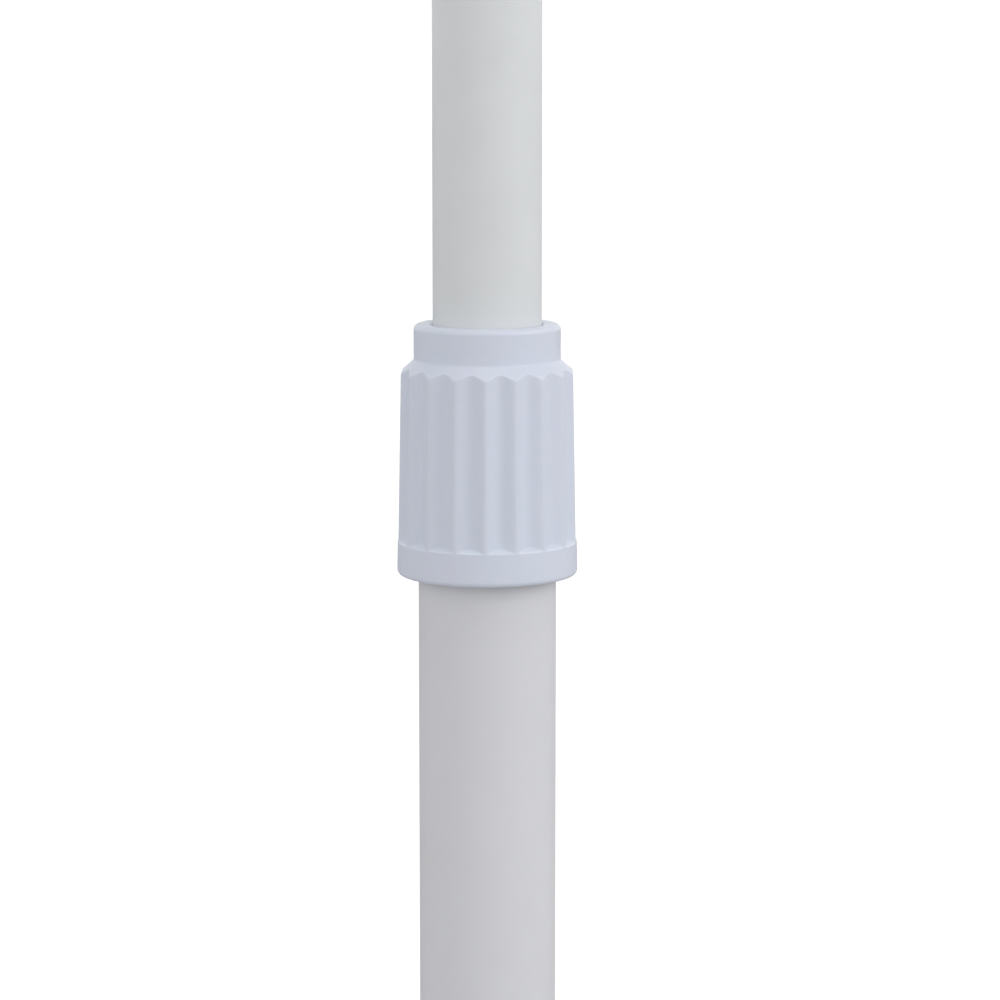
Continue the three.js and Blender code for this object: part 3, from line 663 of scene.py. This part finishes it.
def arm_tube(name, start, end):
    """A bent tube with softened end edges, from one length along the arm to another."""
    outer = [(start, ARM.r - ARM.soft), (start + ARM.soft, ARM.r)]
    outer += [(start + (end - start) * i / ARM.stations, ARM.r) for i in range(1, ARM.stations)]
    outer += [(end - ARM.soft, ARM.r), (end, ARM.r - ARM.soft)]
    inner = [(s, ARM.r - ARM.wall) for s, _ in reversed(outer)]
    mesh = bmesh.new()
    rings = []
    for s, r in outer + inner:
        centre, along = arm_point(s)
        across = Vector((0, 1, 0))
        outward = along.cross(across)
        ring = []
        for side in range(MIDDLING):
            angle = 2 * math.pi * side / MIDDLING
            offset = r * (across * math.cos(angle) + outward * math.sin(angle))
            ring.append(mesh.verts.new((centre + offset) * MM))
        rings.append(ring)
    join_rings(mesh, rings)
    return finish_mesh(name, mesh)


seam = arm_length(ARM.seam)
arm_end = arm_length(ARM.end)
stand_in(arm_coupler(), "arm_coupler", "mast", "white_paint")
stand_in(arm_tube("arm_tube_lower_smooth", 0, seam - ARM.gap), "arm_tube_lower", "mast", "white_paint")
stand_in(arm_tube("arm_tube_upper_smooth", seam + ARM.gap, arm_end), "arm_tube_upper", "mast", "white_paint")

# ---------------------------------------------------------------- tilt joint

end_centre, end_along = arm_point(arm_end)
pivot = (end_centre + end_along * FORK.reach) * MM
head = at(pivot)
fork_place = at(pivot, Matrix.Rotation(-math.radians(ARM.end), 3, "Y"))
pin_place = at(pivot, Matrix.Rotation(-math.pi / 2, 3, "X"))
seat = FORK.gap + FORK.ear + PIN.play  # where the pin's head and the knob bear on the fork


def ear(mesh, low_y, high_y, top, place):
    """Adds a flat ear across the pivot: round below it, straight-sided above, drilled for the pin."""
    outer = []
    for i in range(EAR.arc_steps + 1):
        angle = math.pi + math.pi * i / EAR.arc_steps
        outer.append((EAR.r * math.cos(angle), EAR.r * math.sin(angle)))
    outer += [(EAR.r, top * i / EAR.side_steps) for i in range(1, EAR.side_steps + 1)]
    outer += [(EAR.r - 2 * EAR.r * i / EAR.top_steps, top) for i in range(1, EAR.top_steps)]
    outer += [(-EAR.r, top - top * i / EAR.side_steps) for i in range(EAR.side_steps)]
    rings = []
    for y, inset in (
        (low_y, EAR.soft),
        (low_y + EAR.soft, 0.0),
        (high_y - EAR.soft, 0.0),
        (high_y, EAR.soft),
    ):
        scale = 1 - inset / EAR.r
        rings.append([mesh.verts.new((x * scale * MM, y * MM, z * scale * MM)) for x, z in outer])
    for y in (high_y, low_y):
        angles = [math.atan2(z, x) for x, z in outer]
        rings.append(
            [
                mesh.verts.new((PIN.hole * math.cos(a) * MM, y * MM, PIN.hole * math.sin(a) * MM))
                for a in angles
            ]
        )
    join_rings(mesh, rings)
    added = [vertex for ring in rings for vertex in ring]
    bmesh.ops.transform(mesh, matrix=place, verts=added)


def tilt_fork():
    mesh = bmesh.new()
    spigot_r = ARM.r - ARM.wall - FORK.inset
    outline = [
        (FORK.bore, FORK.body, 0.3),
        (ARM.r, FORK.body, 0.8),
        (ARM.r, FORK.reach - FORK.play, 0.4),
        (spigot_r, FORK.reach - FORK.play),
        (spigot_r, FORK.reach + FORK.spigot, 0.4),
        (FORK.bore, FORK.reach + FORK.spigot),
    ]
    revolve(mesh, rounded(outline), MIDDLING, fork_place)
    for low_y in (FORK.gap, -FORK.gap - FORK.ear):
        ear(mesh, low_y, low_y + FORK.ear, FORK.body + FORK.root, fork_place)
    return finish_mesh("tilt_fork_smooth", mesh)


def pivot_bolt():
    outline = [
        (0, -seat - KNOB.height + PIN.inside),
        (PIN.r, -seat - KNOB.height + PIN.inside, 0.3),
        (PIN.r, seat),
        (PIN.head_r, seat, 0.2),
        (PIN.head_r, seat + PIN.head, 1.3),
        (SOCKET.r, seat + PIN.head, 0.2),
        (SOCKET.floor_r, seat + PIN.head - SOCKET.depth),
        (0, seat + PIN.head - SOCKET.floor),
    ]
    return lathe("pivot_bolt_smooth", outline, SMALL, pin_place)


def knob_radius(r, z, angle):
    """Shallow finger dimples round the knob, with soft lobes between them."""
    if r < KNOB.r - DIMPLE.reach:
        return r
    wave = 0.5 + 0.5 * math.cos(KNOB.lobes * angle)
    return r - DIMPLE.depth * wave**DIMPLE.sharpness


def tilt_knob():
    mesh = bmesh.new()
    outside = -seat - KNOB.height
    outline = [
        (PIN.r + KNOB.play, -seat, 0.2),
        (PIN.r + KNOB.play, outside + KNOB.face),
        (0, outside + KNOB.face),
        (0, outside),
        (KNOB.r - KNOB.edge, outside, 0.6),
        (KNOB.r, outside + KNOB.edge, 1.2),
        (KNOB.r, -seat, 0.8),
    ]
    revolve(mesh, rounded(outline), KNOB.sides, pin_place, knob_radius)
    return finish_mesh("tilt_knob_lobed", mesh)


def friction_disc(node):
    low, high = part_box(node)
    outline = [
        (PIN.r + DISC.play, low.y / MM),
        (DISC.r, low.y / MM, 0.2),
        (DISC.r, high.y / MM, 0.2),
        (PIN.r + DISC.play, high.y / MM),
    ]
    return lathe(node + "_smooth", outline, SMALL, pin_place)


stand_in(tilt_fork(), "tilt_fork", "mast", "white_paint")
stand_in(pivot_bolt(), "pivot_bolt", "mast", "plated_steel")
stand_in(tilt_knob(), "tilt_knob", "knob", "black_plastic")
for name in ("friction_disc_left", "friction_disc_right"):
    stand_in(friction_disc(name), name, "mast", "acetal")

# ---------------------------------------------------------------- lampholder and shade


def shade_eye():
    mesh = bmesh.new()
    ear(mesh, -EYE.half, EYE.half, EYE.root, head @ Matrix.Rotation(math.pi, 4, "X"))
    outline = [
        (0, EYE.stud_end),
        (EYE.stud_r, EYE.stud_end, 0.4),
        (EYE.stud_r, EYE.foot),
        (EYE.neck_r, EYE.foot, 0.3),
        (EYE.neck_r, EYE.neck, 1.2),
        (0, EYE.neck),
    ]
    revolve(mesh, rounded(outline), SMALL, head)
    return finish_mesh("shade_eye_smooth", mesh)


def holder_cap():
    outline = [
        (CAP.r - CAP_INSIDE.rim, CAP.bottom, 0.2),
        (CAP.r, CAP.bottom, 0.4),
        (CAP.r, CAP.side, CAP.edge),
        (CAP.neck_r, CAP.top - CAP.neck, 3.0),
        (CAP.top_r, CAP.top, 0.8),
        (CAP_INSIDE.hole, CAP.top, 0.2),
        (CAP_INSIDE.hole, CAP.top - CAP_INSIDE.wall),
        (CAP_INSIDE.roof_r, CAP.top - CAP_INSIDE.wall, 1.0),
        (CAP_INSIDE.haunch_r, CAP_INSIDE.haunch, 3.0),
        (CAP.r - CAP_INSIDE.rim, CAP.bottom + CAP_INSIDE.skirt, 1.0),
    ]
    return lathe("holder_cap_smooth", outline, ROUND, head)


def holder_shell():
    outline = [
        (HOLDER.bore, HOLDER.bottom, 0.6),
        (HOLDER.r, HOLDER.bottom, 0.9),
        (HOLDER.r, HOLDER.top - HOLDER.flange, 0.4),
        (HOLDER.flange_r, HOLDER.top - HOLDER.flange, 0.6),
        (HOLDER.flange_r, HOLDER.top, 0.4),
        (HOLDER.bore, HOLDER.top),
    ]
    return lathe("holder_shell_smooth", outline, ROUND, head)


def grip_radius(r, z, angle):
    """Fine grip flutes round the clamping ring."""
    wave = 0.5 + 0.5 * math.cos(GRIP.flutes * angle)
    return r - GRIP.depth * wave if r > GRIP.from_r else r


def shade_ring():
    mesh = bmesh.new()
    outline = [
        (GRIP.bore, GRIP.bottom, 0.4),
        (GRIP.r, GRIP.bottom, 0.9),
        (GRIP.r, GRIP.top, 0.6),
        (GRIP.bore, GRIP.top, 0.2),
    ]
    revolve(mesh, rounded(outline), GRIP.sides, head, grip_radius)
    return finish_mesh("shade_ring_grip", mesh)


def dome(inset):
    """The shade's outline from its crown down to its rim: a quarter of an ellipse."""
    outline = []
    for i in range(SHADE.steps + 1):
        angle = math.radians(90 - 90 * i / SHADE.steps)
        r = SHADE.crown + (SHADE.r - inset - SHADE.crown) * math.cos(angle)
        z = SHADE.top - SHADE.drop + (SHADE.drop - inset) * math.sin(angle)
        outline.append((r, z))
    return outline


def dome_shade():
    mesh = bmesh.new()
    outline = [
        (SHADE.hole, SHADE.top - SHADE.wall),
        *dome(SHADE.wall),
        *reversed(dome(0.0)),
        (SHADE.hole, SHADE.top),
    ]
    revolve(mesh, outline, WIDE, head)
    return finish_mesh("shade_dome", mesh)


def bulb_cap():
    bore = BULB_CAP.r - BULB_CAP.wall
    outline = [
        (0, BULB_CAP.tip - BULB_CAP.tip_wall),
        (BULB_CAP.tip_r, BULB_CAP.tip - BULB_CAP.tip_wall, 0.5),
        (bore, BULB_CAP.shoulder - BULB_CAP.wall),
        (bore, BULB_CAP.bottom),
        (BULB_CAP.r, BULB_CAP.bottom),
        (BULB_CAP.r, BULB_CAP.shoulder, 0.8),
        (BULB_CAP.tip_r, BULB_CAP.tip, 0.5),
        (0, BULB_CAP.tip),
    ]
    return lathe("bulb_cap_smooth", outline, SMALL, head)


def globe(inset):
    """The bulb's outline from its lowest point up to its cap, with a neck that flows out of the globe."""
    points = []
    for i in range(GLOBE_ARC.steps + 1):
        turn = GLOBE_ARC.start + (GLOBE_ARC.end - GLOBE_ARC.start) * i / GLOBE_ARC.steps
        angle = math.radians(turn)
        r = max(0.0, (GLOBE.r - inset) * math.cos(angle))
        points.append(Vector((r, GLOBE.centre + (GLOBE.r - inset) * math.sin(angle))))
    shoulder = points[-1]
    neck = Vector((GLOBE_NECK.r - inset, GLOBE_NECK.end))
    onward = Vector((-math.sin(angle), math.cos(angle))) * GLOBE_NECK.flare
    for i in range(1, GLOBE_NECK.steps + 1):
        t = i / GLOBE_NECK.steps
        points.append(shoulder.lerp(neck, t) + onward * t * (1 - t))
    points.append(Vector((GLOBE.cap_r - inset, GLOBE.cap)))
    return points


def bulb_globe():
    mesh = bmesh.new()
    revolve(mesh, [*globe(0.0), *reversed(globe(GLOBE.wall))], GLOBE.sides, head)
    return finish_mesh("bulb_globe_smooth", mesh)


stand_in(shade_eye(), "shade_eye", "shade", "white_paint")
stand_in(holder_cap(), "holder_cap", "shade", "white_plastic")
stand_in(holder_shell(), "holder_shell", "shade", "white_plastic")
stand_in(shade_ring(), "shade_ring", "shade", "white_plastic")
stand_in(dome_shade(), "shade", "shade", "white_aluminium")
stand_in(bulb_cap(), "bulb_cap", "shade", "plated_steel")
stand_in(bulb_globe(), "bulb_globe", "shade", "opal_glass")

# ---------------------------------------------------------------- CAD nodes that stay

slots = {part["node"]: part["material_slot"] for part in frame["record"]["subparts"]}
for name, node in frame["nodes"].items():
    if node.hide_render:
        continue
    node.data.materials.clear()
    node.data.materials.append(MATERIALS[slots[name]])

# ---------------------------------------------------------------- stage, light and camera

scene = bpy.context.scene
scene.view_settings.view_transform = "Standard"
scene.view_settings.look = "None"


def sky_strength(tree):
    """Strength that changes from the horizon up to straight overhead."""
    coordinates = tree.nodes.new("ShaderNodeTexCoord")
    split = tree.nodes.new("ShaderNodeSeparateXYZ")
    tree.links.new(coordinates.outputs["Generated"], split.inputs["Vector"])
    ranged = tree.nodes.new("ShaderNodeMapRange")
    ranged.inputs["To Min"].default_value = WORLD_HORIZON
    ranged.inputs["To Max"].default_value = WORLD_ZENITH
    tree.links.new(split.outputs["Z"], ranged.inputs["Value"])
    return ranged.outputs["Result"]


def studio_world():
    world = bpy.data.worlds.new("studio")
    world.use_nodes = True
    tree = world.node_tree
    background = tree.nodes["Background"]
    background.inputs["Color"].default_value = (1, 1, 1, 1)
    tree.links.new(sky_strength(tree), background.inputs["Strength"])
    return world


def stage_material():
    """Matte and pale, with a glow that only the camera sees: it lights nothing."""
    n = Nodes("studio_floor")
    tone = n.remap(n.noise(scale=1.5), 0.0, 1.0)
    n.join(n.mix(tone, FLOOR_TONE, scaled(FLOOR_TONE, 1.03)), n.shader.inputs["Base Color"])
    n.shader.inputs["Roughness"].default_value = 0.9
    n.shader.inputs["Emission Color"].default_value = (1, 1, 1, 1)
    path = n.node("ShaderNodeLightPath")
    seen = n.node("ShaderNodeMath", operation="MULTIPLY")
    seen.inputs[1].default_value = FLOOR_SEEN
    n.join(path.outputs["Is Camera Ray"], seen.inputs[0])
    n.join(seen.outputs["Value"], n.shader.inputs["Emission Strength"])
    return n.material


def studio_floor():
    mesh = bmesh.new()
    bmesh.ops.create_grid(mesh, x_segments=FLOOR_CELLS, y_segments=FLOOR_CELLS, size=FLOOR_SIZE)
    return finish_mesh("studio_floor", mesh)


def studio_backdrop():
    """A shell round the studio for the camera alone: the world's light comes through it."""
    mesh = bmesh.new()
    bmesh.ops.create_icosphere(mesh, subdivisions=BACKDROP_DETAIL, radius=FLOOR_SIZE)
    backdrop = finish_mesh("studio_backdrop", mesh)
    backdrop.visible_diffuse = False
    backdrop.visible_glossy = False
    backdrop.visible_transmission = False
    backdrop.visible_shadow = False
    return backdrop


def add_softbox(name, box, target):
    """A square light that faces the target point."""
    across, up = math.radians(box.turn), math.radians(box.rise)
    towards = Vector(
        (math.sin(across) * math.cos(up), -math.cos(across) * math.cos(up), math.sin(up))
    )
    light = bpy.data.lights.new(name, "AREA")
    light.shape = "SQUARE"
    light.size = box.width
    light.energy = box.watts
    softbox = bpy.data.objects.new(name, light)
    scene.collection.objects.link(softbox)
    softbox.location = target + towards * box.distance
    softbox.rotation_euler = towards.to_track_quat("Z", "Y").to_euler()
    softbox.visible_camera = False


def add_camera(target):
    data = bpy.data.cameras.new("photo_camera")
    data.lens = CAMERA_LENS
    data.sensor_width = CAMERA_SENSOR
    data.clip_start, data.clip_end = CAMERA_CLIP
    camera = bpy.data.objects.new("photo_camera", data)
    scene.collection.objects.link(camera)
    camera.location = target + Vector((CAMERA_SIDE, -CAMERA_DISTANCE, CAMERA_RISE))
    camera.rotation_euler = (math.radians(90 - CAMERA_PITCH), 0, 0)
    scene.camera = camera


scene.world = studio_world()
floor = studio_floor()
backdrop = studio_backdrop()
pale = stage_material()
for surface in (floor, backdrop):
    surface.data.materials.append(pale)

collar_foot = Vector((0, 0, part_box("lock_collar")[0].z))
for name, box in SOFTBOXES.items():
    add_softbox(name, box, collar_foot)
add_camera(collar_foot)
